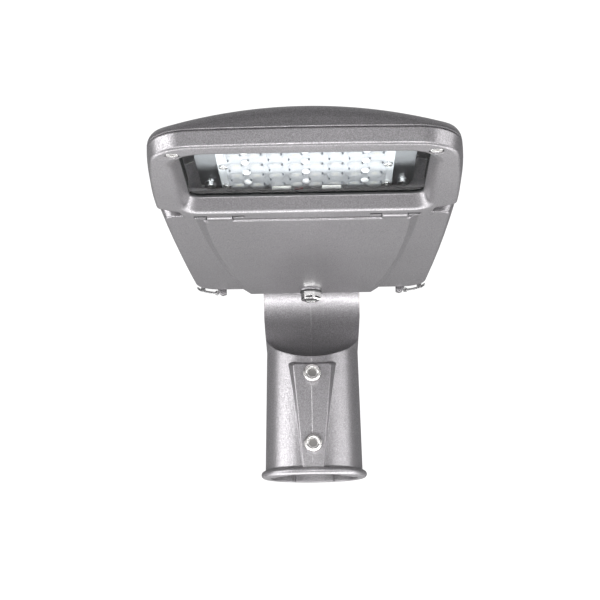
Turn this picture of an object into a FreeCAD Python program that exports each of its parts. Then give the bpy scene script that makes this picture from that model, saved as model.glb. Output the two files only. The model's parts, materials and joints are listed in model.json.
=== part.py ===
# LED street light head on an adjustable pole bracket.
#
# Frame: millimetres, +Z up, origin at the centre of the pole socket's mouth,
# on the pole axis. The head reaches towards -Y. The head's pieces are drawn
# level and then turned about the tilt pivot by the tilt that the head is set to.
import FreeCAD, Part
import os
import math
import Sketcher
from FreeCAD import Vector, Placement, Rotation

doc = FreeCAD.newDocument("StreetLightHead")
sheet = doc.addObject("Spreadsheet::Sheet", "Dims")


class Q:
    """A length that knows its value and the sheet expression that gives it."""

    def __init__(self, v, e):
        self.v = float(v)
        self.e = e

    def _b(self, o, sign, rev=False):
        o = q(o)
        a, b = (o, self) if rev else (self, o)
        v = {"+": a.v + b.v, "-": a.v - b.v, "*": a.v * b.v}[sign] if sign != "/" else a.v / b.v
        return Q(v, "(%s %s %s)" % (a.e, sign, b.e))

    def __add__(self, o): return self._b(o, "+")
    def __radd__(self, o): return self._b(o, "+", True)
    def __sub__(self, o): return self._b(o, "-")
    def __rsub__(self, o): return self._b(o, "-", True)
    def __mul__(self, o): return self._b(o, "*")
    def __rmul__(self, o): return self._b(o, "*", True)
    def __truediv__(self, o): return self._b(o, "/")
    def __neg__(self): return Q(-self.v, "(0 - %s)" % self.e)

    def sqrt(self): return Q(math.sqrt(self.v), "sqrt(%s)" % self.e)


def q(x):
    return x if isinstance(x, Q) else Q(x, "%.6f" % x if x >= 0 else "(0 - %.6f)" % -x)


ROW = [0]


def dim(alias, value, note=""):
    ROW[0] += 1
    n = ROW[0]
    sheet.set("A%d" % n, alias)
    sheet.set("B%d" % n, repr(value))
    sheet.set("C%d" % n, note)
    sheet.setAlias("B%d" % n, alias)
    return Q(value, "Dims.%s" % alias)


# ---- driving dimensions -------------------------------------------------
tilt = dim("tilt_deg", 2.5, "head tilt, front up")
piv_y = dim("pivot_y", 8.0, "tilt pivot")
piv_z = dim("pivot_z", 170.0, "tilt pivot")
# bracket
bore_r = dim("bore_rad", 33.0, "socket bore between the pads")
pole_r = dim("pole_rad", 30.25, "pads' radius, for a 60 mm pole")
bore_len = dim("bore_len", 83.0)
pad_len = dim("pad_len", 76.0, "length of the clamp pads")
tube_lo = dim("tube_lo", 36.8, "tube radius above the bead")
tube_hi = dim("tube_hi", 34.6, "tube radius under the neck")
tube_top = dim("tube_top", 118.0)
bead_r = dim("bead_rad", 40.0)
bead_w = dim("bead_wide", 5.5)
neck_w = dim("neck_wide", 74.6)
scoop_r = dim("scoop_rad", 39.0)
scoop_y = dim("scoop_y", -38.0)
scoop_z = dim("scoop_z", 127.0)
barrel_r = dim("barrel_rad", 16.5)
land_y = dim("land_y", -38.2, "front face of the raised screw land")
scr_lo = dim("screw_low_z", 22.3)
scr_hi = dim("screw_high_z", 74.1)
clamp_d = dim("clamp_screw_dia", 8.0)
pivot_d = dim("pivot_bolt_dia", 10.0)
ear_in = dim("ear_inner", 38.5, "inner faces of the housing's two ears")
ear_out = dim("ear_outer", 51.0)
# head
z_face = dim("face_z", 133.0, "lower face of lens frame and door panel")
z_seam = dim("seam_z", 143.0, "parting plane of the housing")
front_y = dim("front_y", -347.5)
side_w = dim("side_half", 93.0, "half width at the widest")
wide_y = dim("wide_y", -245.0, "where the head is widest")
front_corner = dim("front_corner", 27.0, "plan radius of the front corners")
rear_corner = dim("rear_corner", 48.0, "plan radius of the rear corners")
wall = dim("wall_thick", 3.6)
frame_rear = dim("frame_rear", -218.6)
door_front = dim("door_front", -216.2)
door_rear = dim("door_rear", -38.5)
hinge_y = dim("hinge_y", -221.2)
hinge_z = dim("hinge_z", 136.6)
knuckle_r = dim("knuckle_rad", 4.0)
pin_r = dim("pin_rad", 1.5)
win_w = dim("window_half", 75.3)
win_f = dim("window_front", -333.0)
win_b = dim("window_back", -232.9)
glass_t = dim("glass_thick", 4.0)
glass_z = dim("glass_z", 141.2, "lower face of the glass")
plate_z = dim("plate_z", 155.0, "lower face of the module plate")
plate_t = dim("plate_thick", 2.4)
board_t = dim("board_thick", 1.6)
board_w = dim("board_half", 53.0)
board_f = dim("board_front", -302.0)
board_b = dim("board_back", -221.5)
led_px = dim("led_pitch_x", 12.0)
led_py = dim("led_pitch_y", 17.0)
tray_z = dim("tray_z", 170.0, "lower face of the gear tray")
tray_t = dim("tray_thick", 1.5)
vent_y = dim("vent_y", -46.8)
doc.recompute()


# ---- helpers ------------------------------------------------------------
def body(label):
    b = doc.addObject("PartDesign::Body", label)
    b.Label = label
    b.AllowCompound = True
    return b


def plane(b, role):
    for o in b.Origin.OriginFeatures:
        if o.Role == role:
            return o
    raise RuntimeError("no plane " + role)


def sketch(b, role, off=0.0):
    """Sketch on one of the body's own planes, moved along its normal."""
    s = b.newObject("Sketcher::SketchObject", b.Name + "_sk")
    s.AttachmentSupport = [(plane(b, role), "")]
    s.MapMode = "FlatFace"
    off = q(off)
    s.AttachmentOffset = Placement(Vector(0, 0, off.v), Rotation())
    s.setExpression("AttachmentOffset.Base.z", off.e)
    return s


def pin_point(s, geo, pos, x, y):
    for kind, c in (("DistanceX", x), ("DistanceY", y)):
        i = s.addConstraint(Sketcher.Constraint(kind, -1, 1, geo, pos, c.v))
        s.setExpression("Constraints[%d]" % i, c.e)


def through_radius(a, m, b):
    """Radius of the circle through three points, and its turning sense."""
    def span(p, r):
        dx, dy = p[0] - r[0], p[1] - r[1]
        return (dx * dx + dy * dy).sqrt()
    cross = (m[0] - a[0]) * (b[1] - a[1]) - (m[1] - a[1]) * (b[0] - a[0])
    ccw = cross.v > 0
    area = cross if ccw else -cross
    return span(a, m) * span(m, b) * span(b, a) / (area * 2), ccw


def loop(s, pts):
    """Closed outline. Each item is (x, y) for a straight side to the next
    point, or (x, y, (mx, my)) for an arc through (mx, my)."""
    P = [(q(p[0]), q(p[1])) for p in pts]
    first = None
    prev = None
    n = len(pts)
    for i, p in enumerate(pts):
        a, b = P[i], P[(i + 1) % n]
        va, vb = Vector(a[0].v, a[1].v, 0), Vector(b[0].v, b[1].v, 0)
        if len(p) > 2:
            m = (q(p[2][0]), q(p[2][1]))
            rad, ccw = through_radius(a, m, b)
            vm = Vector(m[0].v, m[1].v, 0)
            arc = Part.Arc(va, vm, vb) if ccw else Part.Arc(vb, vm, va)
            g = s.addGeometry(arc, False)
            st, en = (1, 2) if ccw else (2, 1)
            rc = s.addConstraint(Sketcher.Constraint("Radius", g, rad.v))
            s.setExpression("Constraints[%d]" % rc, rad.e)
        else:
            g = s.addGeometry(Part.LineSegment(va, vb), False)
            st, en = 1, 2
        pin_point(s, g, st, a[0], a[1])
        if prev is not None:
            s.addConstraint(Sketcher.Constraint("Coincident", prev[0], prev[1], g, st))
        else:
            first = (g, st)
        prev = (g, en)
    s.addConstraint(Sketcher.Constraint("Coincident", prev[0], prev[1], first[0], first[1]))


def circle(s, x, y, r):
    x, y, r = q(x), q(y), q(r)
    g = s.addGeometry(Part.Circle(Vector(x.v, y.v, 0), Vector(0, 0, 1), r.v), False)
    pin_point(s, g, 3, x, y)
    i = s.addConstraint(Sketcher.Constraint("Radius", g, r.v))
    s.setExpression("Constraints[%d]" % i, r.e)


def rect(s, x0, y0, x1, y1):
    loop(s, [(x0, y0), (x1, y0), (x1, y1), (x0, y1)])


def rrect(s, x0, y0, x1, y1, r0, r1=None):
    """Rounded rectangle, r0 at the low-y corners and r1 at the high-y ones."""
    r1 = r0 if r1 is None else r1
    x0, y0, x1, y1, r0, r1 = q(x0), q(y0), q(x1), q(y1), q(r0), q(r1)
    k = 1 - math.sqrt(0.5)
    loop(s, [(x0 + r0, y0), (x1 - r0, y0, (x1 - r0 * k, y0 + r0 * k)), (x1, y0 + r0),
             (x1, y1 - r1, (x1 - r1 * k, y1 - r1 * k)), (x1 - r1, y1),
             (x0 + r1, y1, (x0 + r1 * k, y1 - r1 * k)), (x0, y1 - r1),
             (x0, y0 + r0, (x0 + r0 * k, y0 + r0 * k))])


def slotted(s, x0, x1, y, r):
    """Obround along x."""
    x0, x1, y, r = q(x0), q(x1), q(y), q(r)
    loop(s, [(x0, y - r), (x1, y - r, (x1 + r, y)), (x1, y + r), (x0, y + r, (x0 - r, y))])


def hexagon(s, x, y, af, turn=0.0):
    x, y, af = q(x), q(y), q(af)
    loop(s, [(x + af * (math.cos(math.radians(60 * i + turn)) / math.sqrt(3)),
              y + af * (math.sin(math.radians(60 * i + turn)) / math.sqrt(3))) for i in range(6)])


def pad(b, s, length, mid=False, rev=False, taper=None):
    f = b.newObject("PartDesign::Pad", b.Name + "_pad")
    f.Profile = s
    length = q(length)
    f.Length = length.v
    f.setExpression("Length", length.e)
    f.Reversed = rev
    if mid:
        f.SideType = "Symmetric"
    if taper is not None:
        f.TaperAngle = taper
    s.Visibility = False
    doc.recompute()
    return f


def cut(b, s, length=None, mid=False, rev=False, taper=None):
    """Pocket; it must take material away."""
    v0 = b.Shape.Volume
    f = b.newObject("PartDesign::Pocket", b.Name + "_cut")
    f.Profile = s
    if length is None:
        f.Type = "ThroughAll"
    else:
        length = q(length)
        f.Length = length.v
        f.setExpression("Length", length.e)
    f.Reversed = rev
    if mid:
        f.SideType = "Symmetric"
    if taper is not None:
        f.TaperAngle = taper
    doc.recompute()
    if not b.Shape.Volume < v0 - 1e-3:
        raise RuntimeError("%s takes nothing away from %s" % (f.Name, b.Label))
    return f


def revolve(b, s, axis="V_Axis"):
    f = b.newObject("PartDesign::Revolution", b.Name + "_rev")
    f.Profile = s
    f.ReferenceAxis = (s, [axis])
    f.Angle = 360
    doc.recompute()
    return f


def loft(b, sections, kind="AdditiveLoft", ruled=False):
    f = b.newObject("PartDesign::" + kind, b.Name + "_loft")
    f.Profile = sections[0]
    f.Sections = sections[1:]
    f.Ruled = ruled
    doc.recompute()
    return f


def fillet(b, pick, r, kind="Fillet"):
    """Round the edges of the body's tip that pick(edge) accepts."""
    tip = b.Tip
    names = ["Edge%d" % (i + 1) for i, e in enumerate(tip.Shape.Edges) if pick(e)]
    if not names:
        raise RuntimeError("no edge to round on " + b.Label)
    f = b.newObject("PartDesign::" + kind, b.Name + "_edge")
    f.Base = (tip, names)
    r = q(r)
    prop = "Radius" if kind == "Fillet" else "Size"
    setattr(f, prop, r.v)
    f.setExpression(prop, r.e)
    doc.recompute()
    return f


def mid_of(e):
    return e.valueAt((e.FirstParameter + e.LastParameter) / 2)


def near(v, w, tol=0.05):
    return abs(q(v).v - q(w).v) < tol


def turn_with_head(o):
    """Turn a piece about the tilt pivot, with its place bound to the sheet."""
    o.Placement = Placement(Vector(0, 0, 0), Rotation(Vector(-1, 0, 0), tilt.v), Vector(0, piv_y.v, piv_z.v))
    ca, sa = "cos(Dims.tilt_deg * 1 deg)", "sin(Dims.tilt_deg * 1 deg)"
    o.setExpression("Placement.Base.y", "Dims.pivot_y - Dims.pivot_y * %s - Dims.pivot_z * %s" % (ca, sa))
    o.setExpression("Placement.Base.z", "Dims.pivot_z + Dims.pivot_y * %s - Dims.pivot_z * %s" % (sa, ca))
    o.setExpression("Placement.Rotation.Angle", "Dims.tilt_deg")


BRACKET, HEAD = [], []


def keep(o, in_head=True):
    (HEAD if in_head else BRACKET).append(o)
    return o


def boolean(kind, name, base, tools):
    o = doc.addObject("Part::" + kind, name)
    o.Label = name
    if kind == "MultiFuse":
        o.Shapes = [base] + tools
    else:
        o.Base, o.Tool = base, tools[0]
    doc.recompute()
    return o


def rounded(name, base, pick, r):
    """Round the edges of an object that pick(edge) accepts."""
    o = doc.addObject("Part::Fillet", name)
    o.Label = name
    o.Base = base
    o.Edges = [(i + 1, r, r) for i, e in enumerate(base.Shape.Edges) if pick(e)]
    doc.recompute()
    return o


# ---- bracket: socket tube, neck and pivot barrel, one casting ------------
def circle8(s, r, a):
    """Circle in eight arcs that pair with a rounded rectangle's sides."""
    r = q(r)
    stops = [-90 - a, -90 + a, -a, a, 90 - a, 90 + a, 180 - a, 180 + a]
    pts = []
    for n, a0 in enumerate(stops):
        a1 = stops[n + 1] if n < 7 else stops[0] + 360
        am = math.radians((a0 + a1) / 2)
        a0 = math.radians(a0)
        pts.append((r * math.cos(a0), r * math.sin(a0), (r * math.cos(am), r * math.sin(am))))
    loop(s, pts)


form = body("bracket_form")
s = sketch(form, "XZ_Plane")
bw = bead_w / 2
k = 1 - math.sqrt(0.5)
loop(s, [(0, 0), (bead_r - bw, 0, (bead_r - bw * k, bw * k)), (bead_r, bw, (bead_r - bw * k, bead_w - bw * k)),
         (bead_r - bw, bead_w), (tube_lo + 1.2, bead_w, (tube_lo + 0.35, bead_w + 0.35)), (tube_lo, bead_w + 1.2),
         (tube_hi, tube_top), (0, tube_top)])
revolve(form, s)
# the neck blends from the round tube to flat cheeks
s0 = sketch(form, "XY_Plane", 97.0)
circle8(s0, tube_hi + 0.45, 32.0)
s1 = sketch(form, "XY_Plane", 125.0)
rrect(s1, neck_w / -2, -36.0, neck_w / 2, 32.4, 16.0)
s2 = sketch(form, "XY_Plane", 153.0)
rrect(s2, neck_w / -2, -8.3, neck_w / 2, 27.3, 3.0)
loft(form, [s0, s1, s2], ruled=True)
# pivot barrel
s = sketch(form, "YZ_Plane")
loop(s, [(28.0, 149.0), (piv_y + barrel_r - 0.02, piv_z - 1.0, (piv_y + barrel_r, piv_z)),
         (piv_y + barrel_r - 0.02, piv_z + 0.8, (piv_y, piv_z + barrel_r)),
         (piv_y - barrel_r, piv_z), (piv_y - barrel_r, 149.0)])
pad(form, s, neck_w, mid=True)

# concave scoop under the head, its mouth a wide U in front view
scoop = body("bracket_scoop")
s = sketch(scoop, "YZ_Plane")
circle(s, scoop_y, scoop_z, scoop_r)
pad(scoop, s, 100, mid=True)
s = sketch(scoop, "XZ_Plane")
ux, uz = 28.0, 96.6
loop(s, [(-60.0, 60.0), (60.0, 60.0), (60.0, 116.0), (37.8, 116.0, (35.0, 105.3)), (ux, uz, (0.0, 88.1)), (-ux, uz, (-35.0, 105.3)),
         (-37.8, 116.0), (-60.0, 116.0)])
cut(scoop, s, 200, mid=True)
necked = boolean("Cut", "bracket_necked", form, [scoop])

# raised land that the clamp screws pass through
land = body("bracket_land")
s0 = sketch(land, "XZ_Plane", 29.5)
loop(s0, [(-8.8, 4.6), (8.8, 4.6), (18.4, 83.2), (16.4, 85.2), (-16.4, 85.2), (-18.4, 83.2)])
s1 = sketch(land, "XZ_Plane", -land_y)
loop(s1, [(-7.5, 4.6), (7.5, 4.6), (14.1, 80.6), (12.7, 82.0), (-12.7, 82.0), (-14.1, 80.6)])
loft(land, [s0, s1], ruled=True)
fillet(land, lambda e: near(mid_of(e).y, land_y) and mid_of(e).z > 6, 1.1)
landed = boolean("MultiFuse", "bracket_landed", necked, [land])

# socket, open downwards, and the lead way up through the neck
hollow = body("bracket_hollow")
s = sketch(hollow, "XY_Plane", -5)
circle(s, 0, 0, bore_r)
pad(hollow, s, bore_len + 5)
s = sketch(hollow, "YZ_Plane")
loop(s, [(-16.0, 82.0), (27.0, 82.0), (19.5, 149.0), (-1.0, 149.0, (scoop_y + scoop_r + 4.2, scoop_z)), (-16.0, 90.5)])
pad(hollow, s, 34, mid=True)
s = sketch(hollow, "YZ_Plane")
loop(s, [(6.0, 118.0), (26.0, 118.0), (20.0, 148.0), (1.5, 148.0)])
pad(hollow, s, 62, mid=True)
s = sketch(hollow, "XZ_Plane", 20.0)
circle(s, 0, 144.5, 7.0)
pad(hollow, s, 55, rev=True)
cored = boolean("Cut", "bracket_cored", landed, [hollow])

# three long pads inside the socket
pads = body("bracket_pads")
s = sketch(pads, "XY_Plane")
for a0, a1 in ((62, 118), (190, 230), (310, 350)):
    def pt(r, a):
        return (r * math.cos(math.radians(a)), r * math.sin(math.radians(a)))
    rr_ = bore_r + 1.0
    am = (a0 + a1) / 2
    loop(s, [pt(pole_r, a0) + (pt(pole_r, am),), pt(pole_r, a1), pt(rr_, a1) + (pt(rr_, am),), pt(rr_, a0)])
pad(pads, s, pad_len)
padded = boolean("MultiFuse", "bracket_padded", cored, [pads])

# clamp screw threads and pivot bolt hole
holes = body("bracket_holes")
s = sketch(holes, "XZ_Plane", 50.0)
circle(s, 0, scr_lo, clamp_d / 2)
circle(s, 0, scr_hi, clamp_d / 2)
pad(holes, s, 30, rev=True)
s = sketch(holes, "YZ_Plane")
circle(s, piv_y, piv_z, pivot_d / 2 + 0.1)
pad(holes, s, 100, mid=True)
bracket = boolean("Cut", "pole_bracket", padded, [holes])
keep(bracket, False)

# ---- clamp screws: socket cap heads seated on the land --------------------
b = keep(body("clamp_screws"), False)
s = sketch(b, "XZ_Plane", -land_y)
circle(s, 0, scr_lo, 6.5)
circle(s, 0, scr_hi, 6.5)
pad(b, s, clamp_d)
s = sketch(b, "XZ_Plane", 30.6)
circle(s, 0, scr_lo, clamp_d / 2 - 0.1)
circle(s, 0, scr_hi, clamp_d / 2 - 0.1)
pad(b, s, 8.0)
s = sketch(b, "XZ_Plane", clamp_d - land_y)
hexagon(s, 0, scr_lo, 6.0, 30)
hexagon(s, 0, scr_hi, 6.0, 30)
cut(b, s, 4.5)
fillet(b, lambda e: near(mid_of(e).y, land_y.v - clamp_d.v) and e.Curve.TypeId == "Part::GeomCircle" and near(e.Curve.Radius, 6.5), 0.8, "Chamfer")


# ---- plan outlines of the head -------------------------------------------
# The plan is a chain of arcs that meet tangentially: a nearly straight front,
# front corner, two long side arcs and rear corner, with its mirror image.
def chain_points():
    """Points of the right half at the seam, each with its outward normal."""
    hw, rc, rr_ = side_w.v, front_corner.v, rear_corner.v
    ax, sag = 62.0, 1.3
    r1 = (ax * ax + sag * sag) / (2 * sag)
    fy = front_y.v
    na = (ax / r1, -math.sqrt(1 - (ax / r1) ** 2))
    A = (ax, fy + r1 + r1 * na[1])
    c1 = (A[0] - rc * na[0], A[1] - rc * na[1])
    # side arc, widest at wide_y, tangent to the corner
    wy = wide_y.v
    dx, dy = hw - c1[0], wy - c1[1]
    r2 = (dx * dx + dy * dy - rc * rc) / (2 * (dx - rc))
    c2 = (hw - r2, wy)
    nb = ((c1[0] - c2[0]) / (r2 - rc), (c1[1] - c2[1]) / (r2 - rc))
    tx, ty = 87.2, -48.2
    r3 = ((hw - tx) ** 2 + (ty - wy) ** 2) / (2 * (hw - tx))
    c3 = (hw - r3, wy)
    nt = ((tx - c3[0]) / r3, (ty - c3[1]) / r3)
    c4 = (tx - rr_ * nt[0], ty - rr_ * nt[1])

    def between(u, v):
        w = (u[0] + v[0], u[1] + v[1])
        n = math.hypot(*w)
        return (w[0] / n, w[1] / n)

    def on(c, r, n):
        return ((c[0] + r * n[0], c[1] + r * n[1]), n)
    nab, nbs, nst, ntr = between(na, nb), between(nb, (1, 0)), between((1, 0), nt), between(nt, (0, 1))
    return {"F": ((0.0, fy), (0.0, -1.0)), "A": (A, na), "AB": on(c1, rc, nab), "B": on(c1, rc, nb),
            "BS": on(c2, r2, nbs), "S": ((hw, wy), (1.0, 0.0)), "ST": on(c3, r3, nst), "T": ((tx, ty), nt),
            "TR": on(c4, rr_, ntr), "R": on(c4, rr_, (0.0, 1.0))}


CH = chain_points()
CELL = {}
for key, (p, n) in CH.items():
    CELL[key] = (dim("plan_%s_x" % key.lower(), round(p[0], 5)), dim("plan_%s_y" % key.lower(), round(p[1], 5)), n)
doc.recompute()


def at(key, d=0.0, side=1):
    x, y, n = CELL[key]
    d = q(d)
    return ((x - d * n[0]) * side, y - d * n[1])


def head_plan(s, d=0.0):
    """The housing's whole plan, moved inwards by d."""
    P = lambda k, sd=1: at(k, d, sd)
    loop(s, [P("A") + (P("AB"),), P("B") + (P("BS"),), P("S") + (P("ST"),), P("T") + (P("TR"),), P("R"),
             P("R", -1) + (P("TR", -1),), P("T", -1) + (P("ST", -1),), P("S", -1) + (P("BS", -1),),
             P("B", -1) + (P("AB", -1),), P("A", -1) + (P("F"),)])


def crown_cut(b, drop):
    """Take away all that is above the crowned top, lowered by drop."""
    secs = []
    for y, z in ((-364, 146.6), (-345, 155.4), (-325, 164.1), (-300, 172.4), (-265, 181.0), (-220, 187.2),
                 (-170, 190.8), (-110, 191.8), (-55, 190.3), (0, 187.9), (45, 185.5)):
        s = sketch(b, "XZ_Plane", -y)
        zc = q(z) - drop
        loop(s, [(-104.0, zc - 20.4, (0.0, zc)), (104.0, zc - 20.4), (104.0, 240.0), (-104.0, 240.0)])
        secs.append(s)
    v0 = b.Shape.Volume
    loft(b, secs, "SubtractiveLoft")
    if not 0 < b.Shape.Volume < v0 - 1:
        raise RuntimeError("the crown takes nothing away from " + b.Label)


def top_edges(z0):
    def pick(e):
        a, c, m = e.valueAt(e.FirstParameter), e.valueAt(e.LastParameter), mid_of(e)
        return m.z > z0 + 0.5 and not near(a.z, z0) and not near(c.z, z0)
    return pick


# ---- top housing: crowned shell with a partition, bosses and two ears -----
outer = body("housing_outer")
s0 = sketch(outer, "XY_Plane", z_seam)
head_plan(s0, 0)
s1 = sketch(outer, "XY_Plane", z_seam + 60)
head_plan(s1, 8.4)
loft(outer, [s0, s1], ruled=True)
crown_cut(outer, 0.0)
fillet(outer, top_edges(z_seam.v), dim("crown_edge", 11.0))
# underside slopes up behind the driver bay
s = sketch(outer, "YZ_Plane")
loop(s, [(-33.0, 130.0), (40.0, 130.0), (40.0, 165.2), (-33.0, z_seam)])
cut(outer, s, 260, mid=True)

inner = body("housing_hollow")
s0 = sketch(inner, "XY_Plane", z_seam - 1)
head_plan(s0, wall)
s1 = sketch(inner, "XY_Plane", z_seam + 60)
head_plan(s1, wall + 8.4)
loft(inner, [s0, s1], ruled=True)
crown_cut(inner, wall)
fillet(inner, top_edges(z_seam.v - 1), dim("hollow_edge", 8.0))
s = sketch(inner, "YZ_Plane")
loop(s, [(-18.0, 120.0), (40.0, 120.0), (40.0, 230.0), (-18.0, 230.0)])
cut(inner, s, 260, mid=True)
s = sketch(inner, "YZ_Plane")
loop(s, [(-45.0, 130.0), (0.0, 130.0), (0.0, 157.2), (-34.0, 146.8), (-45.0, 146.8)])
cut(inner, s, 260, mid=True)
# partition between the optical bay and the driver bay
s = sketch(inner, "YZ_Plane")
loop(s, [(-236.4, 120.0), (-207.6, 120.0), (-207.6, 230.0), (-211.0, 230.0), (-211.0, 146.0), (-236.4, 146.0)])
cut(inner, s, 260, mid=True)

shell = boolean("Cut", "housing_shell", outer, [inner])

extra = body("housing_bosses")
s = sketch(extra, "XY_Plane", plate_z + plate_t)      # module plate bosses
for sx in (-1, 1):
    circle(s, 60.0 * sx, -226.0, 4.2)
    circle(s, 60.0 * sx, -306.0, 4.2)
pad(extra, s, 45)
s = sketch(extra, "XY_Plane", tray_z + tray_t)        # gear tray bosses
for sx in (-1, 1):
    circle(s, 66.0 * sx, -192.0, 4.6)
    circle(s, 66.0 * sx, -68.0, 4.6)
pad(extra, s, 40)
s = sketch(extra, "XY_Plane", z_seam)                 # lens frame screw bosses
for sx in (-1, 1):
    circle(s, 72.4 * sx, -332.0, 5.4)
pad(extra, s, 20)
bosses = boolean("Common", "housing_bosses_trimmed", extra, [outer])

ears = body("housing_ears")
s = sketch(ears, "YZ_Plane")
loop(s, [(-19.0, 150.6), (piv_y + 5.0, piv_z - 15.7, (piv_y + barrel_r, piv_z)), (piv_y, piv_z + barrel_r), (-19.0, 187.4)])
pad(ears, s, ear_out * 2, mid=True)
s = sketch(ears, "XY_Plane", 120)
rect(s, -ear_in, -14.0, ear_in, 60.0)
cut(ears, s, 100, rev=True)
# keepers behind the door, at the bay's rear corners
lugs = body("housing_lugs")
for sx in (-1, 1):
    s = sketch(lugs, "XZ_Plane", 32.4)
    loop(s, [(x * sx, z) for x, z in ((63.8, 134.4), (66.6, 133.6), (68.4, 134.4), (70.6, 138.6), (70.6, 145.2), (63.8, 145.2))])
    pad(lugs, s, 4.0)

raw = boolean("MultiFuse", "housing_raw", shell, [bosses, ears, lugs])
tools = body("housing_tools")
s = sketch(tools, "XY_Plane", 120)                    # slot for the bracket's barrel
rect(s, -ear_in, -14.0, ear_in, 60.0)
pad(tools, s, 120)
s = sketch(tools, "YZ_Plane")                         # pivot bolt
circle(s, piv_y, piv_z, pivot_d / 2 + 0.25)
pad(tools, s, 200, mid=True)
s = sketch(tools, "XY_Plane", 130)                    # screw holes
for sx in (-1, 1):
    circle(s, 60.0 * sx, -226.0, 2.05)
    circle(s, 60.0 * sx, -306.0, 2.05)
pad(tools, s, 31.3)
s = sketch(tools, "XY_Plane", 130)
for sx in (-1, 1):
    circle(s, 72.4 * sx, -332.0, 2.05)
    circle(s, 82.2 * sx, -232.0, 2.05)
    circle(s, 80.0 * sx, -33.7, 1.55)
pad(tools, s, 17.6)
s = sketch(tools, "XY_Plane", 165)
for sx in (-1, 1):
    circle(s, 66.0 * sx, -192.0, 2.05)
    circle(s, 66.0 * sx, -68.0, 2.05)
pad(tools, s, 14.0)
s = sketch(tools, "XZ_Plane", 205)                    # lead grommets in the partition
for sx in (-1, 1):
    circle(s, 15.5 * sx, 151.0, 4.4)
pad(tools, s, 8.0)
s = sketch(tools, "XZ_Plane", 12)                     # supply entry in the rear wall
circle(s, 0, 163.5, 7.0)
pad(tools, s, 8.0)
housing = boolean("Cut", "top_housing", raw, [tools])
keep(housing)


# ---- lens frame ------------------------------------------------------------
r_fr = dim("frame_corner", 25.8, "plan radius of the frame's rear corners")


def frame_outline(s, d, back=0.0):
    """Plan of the lens frame, moved inwards by d, its rear edge by back."""
    d, rear = q(d), frame_rear - back
    pts = []
    k = math.sqrt(0.5)
    for sd in (1, -1):
        cx, cy, r = (side_w - r_fr), (rear - r_fr + d), (r_fr - d)
        a, m, c = (cx + r, cy), (cx + r * k, cy + r * k), (cx, rear)
        pts.append([(p[0] * sd, p[1]) for p in (a, m, c)])
    (a, m, c), (a2, m2, c2) = pts
    loop(s, [at("A", d) + (at("AB", d),), at("B", d) + (at("BS", d),), at("S", d), a + (m,), c,
             c2 + (m2,), a2, at("S", d, -1) + (at("BS", d, -1),), at("B", d, -1) + (at("AB", d, -1),),
             at("A", d, -1) + (at("F", d),)])


def seal_ring(s, d, rear):
    """Outline of the joint round the optical bay, moved inwards by d."""
    d, rear = q(d), q(rear)
    r = r_fr - d
    cx, cy = side_w - r_fr, frame_rear - r_fr
    ang = math.asin((rear.v - cy.v) / r.v)
    e = (cx + (r * r - (rear - cy) * (rear - cy)).sqrt(), rear)
    m = (cx + r * math.cos(ang / 2), cy + r * math.sin(ang / 2))
    S = lambda p, sd: (p[0] * sd, p[1])
    a = (cx + r, cy)
    loop(s, [at("A", d) + (at("AB", d),), at("B", d) + (at("BS", d),), at("S", d), a + (m,), e,
             S(e, -1) + (S(m, -1),), S(a, -1), at("S", d, -1) + (at("BS", d, -1),),
             at("B", d, -1) + (at("AB", d, -1),), at("A", d, -1) + (at("F", d),)])


b = body("lens_frame")
secs = []
for dz, d, back in ((0.0, 3.3, 2.6), (0.14, 2.65, 1.8), (0.55, 2.0, 0.95), (1.1, 1.62, 0.4), (1.8, 1.5, 0.05),
                    (9.25, 0.1, 0.0), (9.5, 0.8, 0.0), (10.0, 0.8, 0.0)):
    s = sketch(b, "XY_Plane", z_face + dz)             # rounded lower edge, drafted side, step under the seam
    frame_outline(s, d, back)
    secs.append(s)
loft(b, secs, ruled=True)
# flared window
s0 = sketch(b, "XY_Plane", z_face)
rrect(s0, -win_w, win_f, win_w, win_b, 20, 10)
s1 = sketch(b, "XY_Plane", glass_z - 1)
rrect(s1, -win_w + 4.1, win_f + 8, win_w - 4.1, win_b - 9.7, 16, 7)
loft(b, [s0, s1], "SubtractiveLoft", ruled=True)
fillet(b, lambda e: near(mid_of(e).z, z_face) and abs(mid_of(e).x) < 76 and -333.5 < mid_of(e).y < -232.0, dim("window_lip", 6.0))
# seat of the glass
s = sketch(b, "XY_Plane", glass_z - 1)
rrect(s, -77.4, -331.8, 77.4, -237.2, 19.6, 6.5)
cut(b, s, 10, rev=True)
# cored underside of the front and side members
s = sketch(b, "XY_Plane", 136.0)
kk = 22.8 * (1 - math.sqrt(0.5))
loop(s, [at("A", 4.6) + (at("AB", 4.6),), at("B", 4.6) + (at("BS", 4.6),), at("S", 4.6), (80.6, wide_y),
         (80.6, -312.4, (80.6 - kk, -335.2 + kk)), (57.8, -335.2), (-57.8, -335.2, (-80.6 + kk, -335.2 + kk)),
         (-80.6, -312.4), (-80.6, wide_y), at("S", 4.6, -1) + (at("BS", 4.6, -1),),
         at("B", 4.6, -1) + (at("AB", 4.6, -1),), at("A", 4.6, -1) + (at("F", 4.6),)])
cut(b, s, 10, rev=True)
CLIPS = [(-40.0, -339.5, 0), (40.0, -339.5, 0), (-84.2, -262.0, -1), (84.2, -262.0, 1)]
FRONT = [(-72.4, -332.0), (72.4, -332.0)]
REAR = [(-82.2, -232.0), (82.2, -232.0)]
s = sketch(b, "XY_Plane", 135.9)
for x, y, side in CLIPS:
    circle(s, x, y, 3.2)
pad(b, s, glass_z + glass_t - 135.9)
s = sketch(b, "XY_Plane", 135.9)
for x, y in FRONT:
    circle(s, x, y, 5.4)
pad(b, s, z_seam - 135.9)
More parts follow.
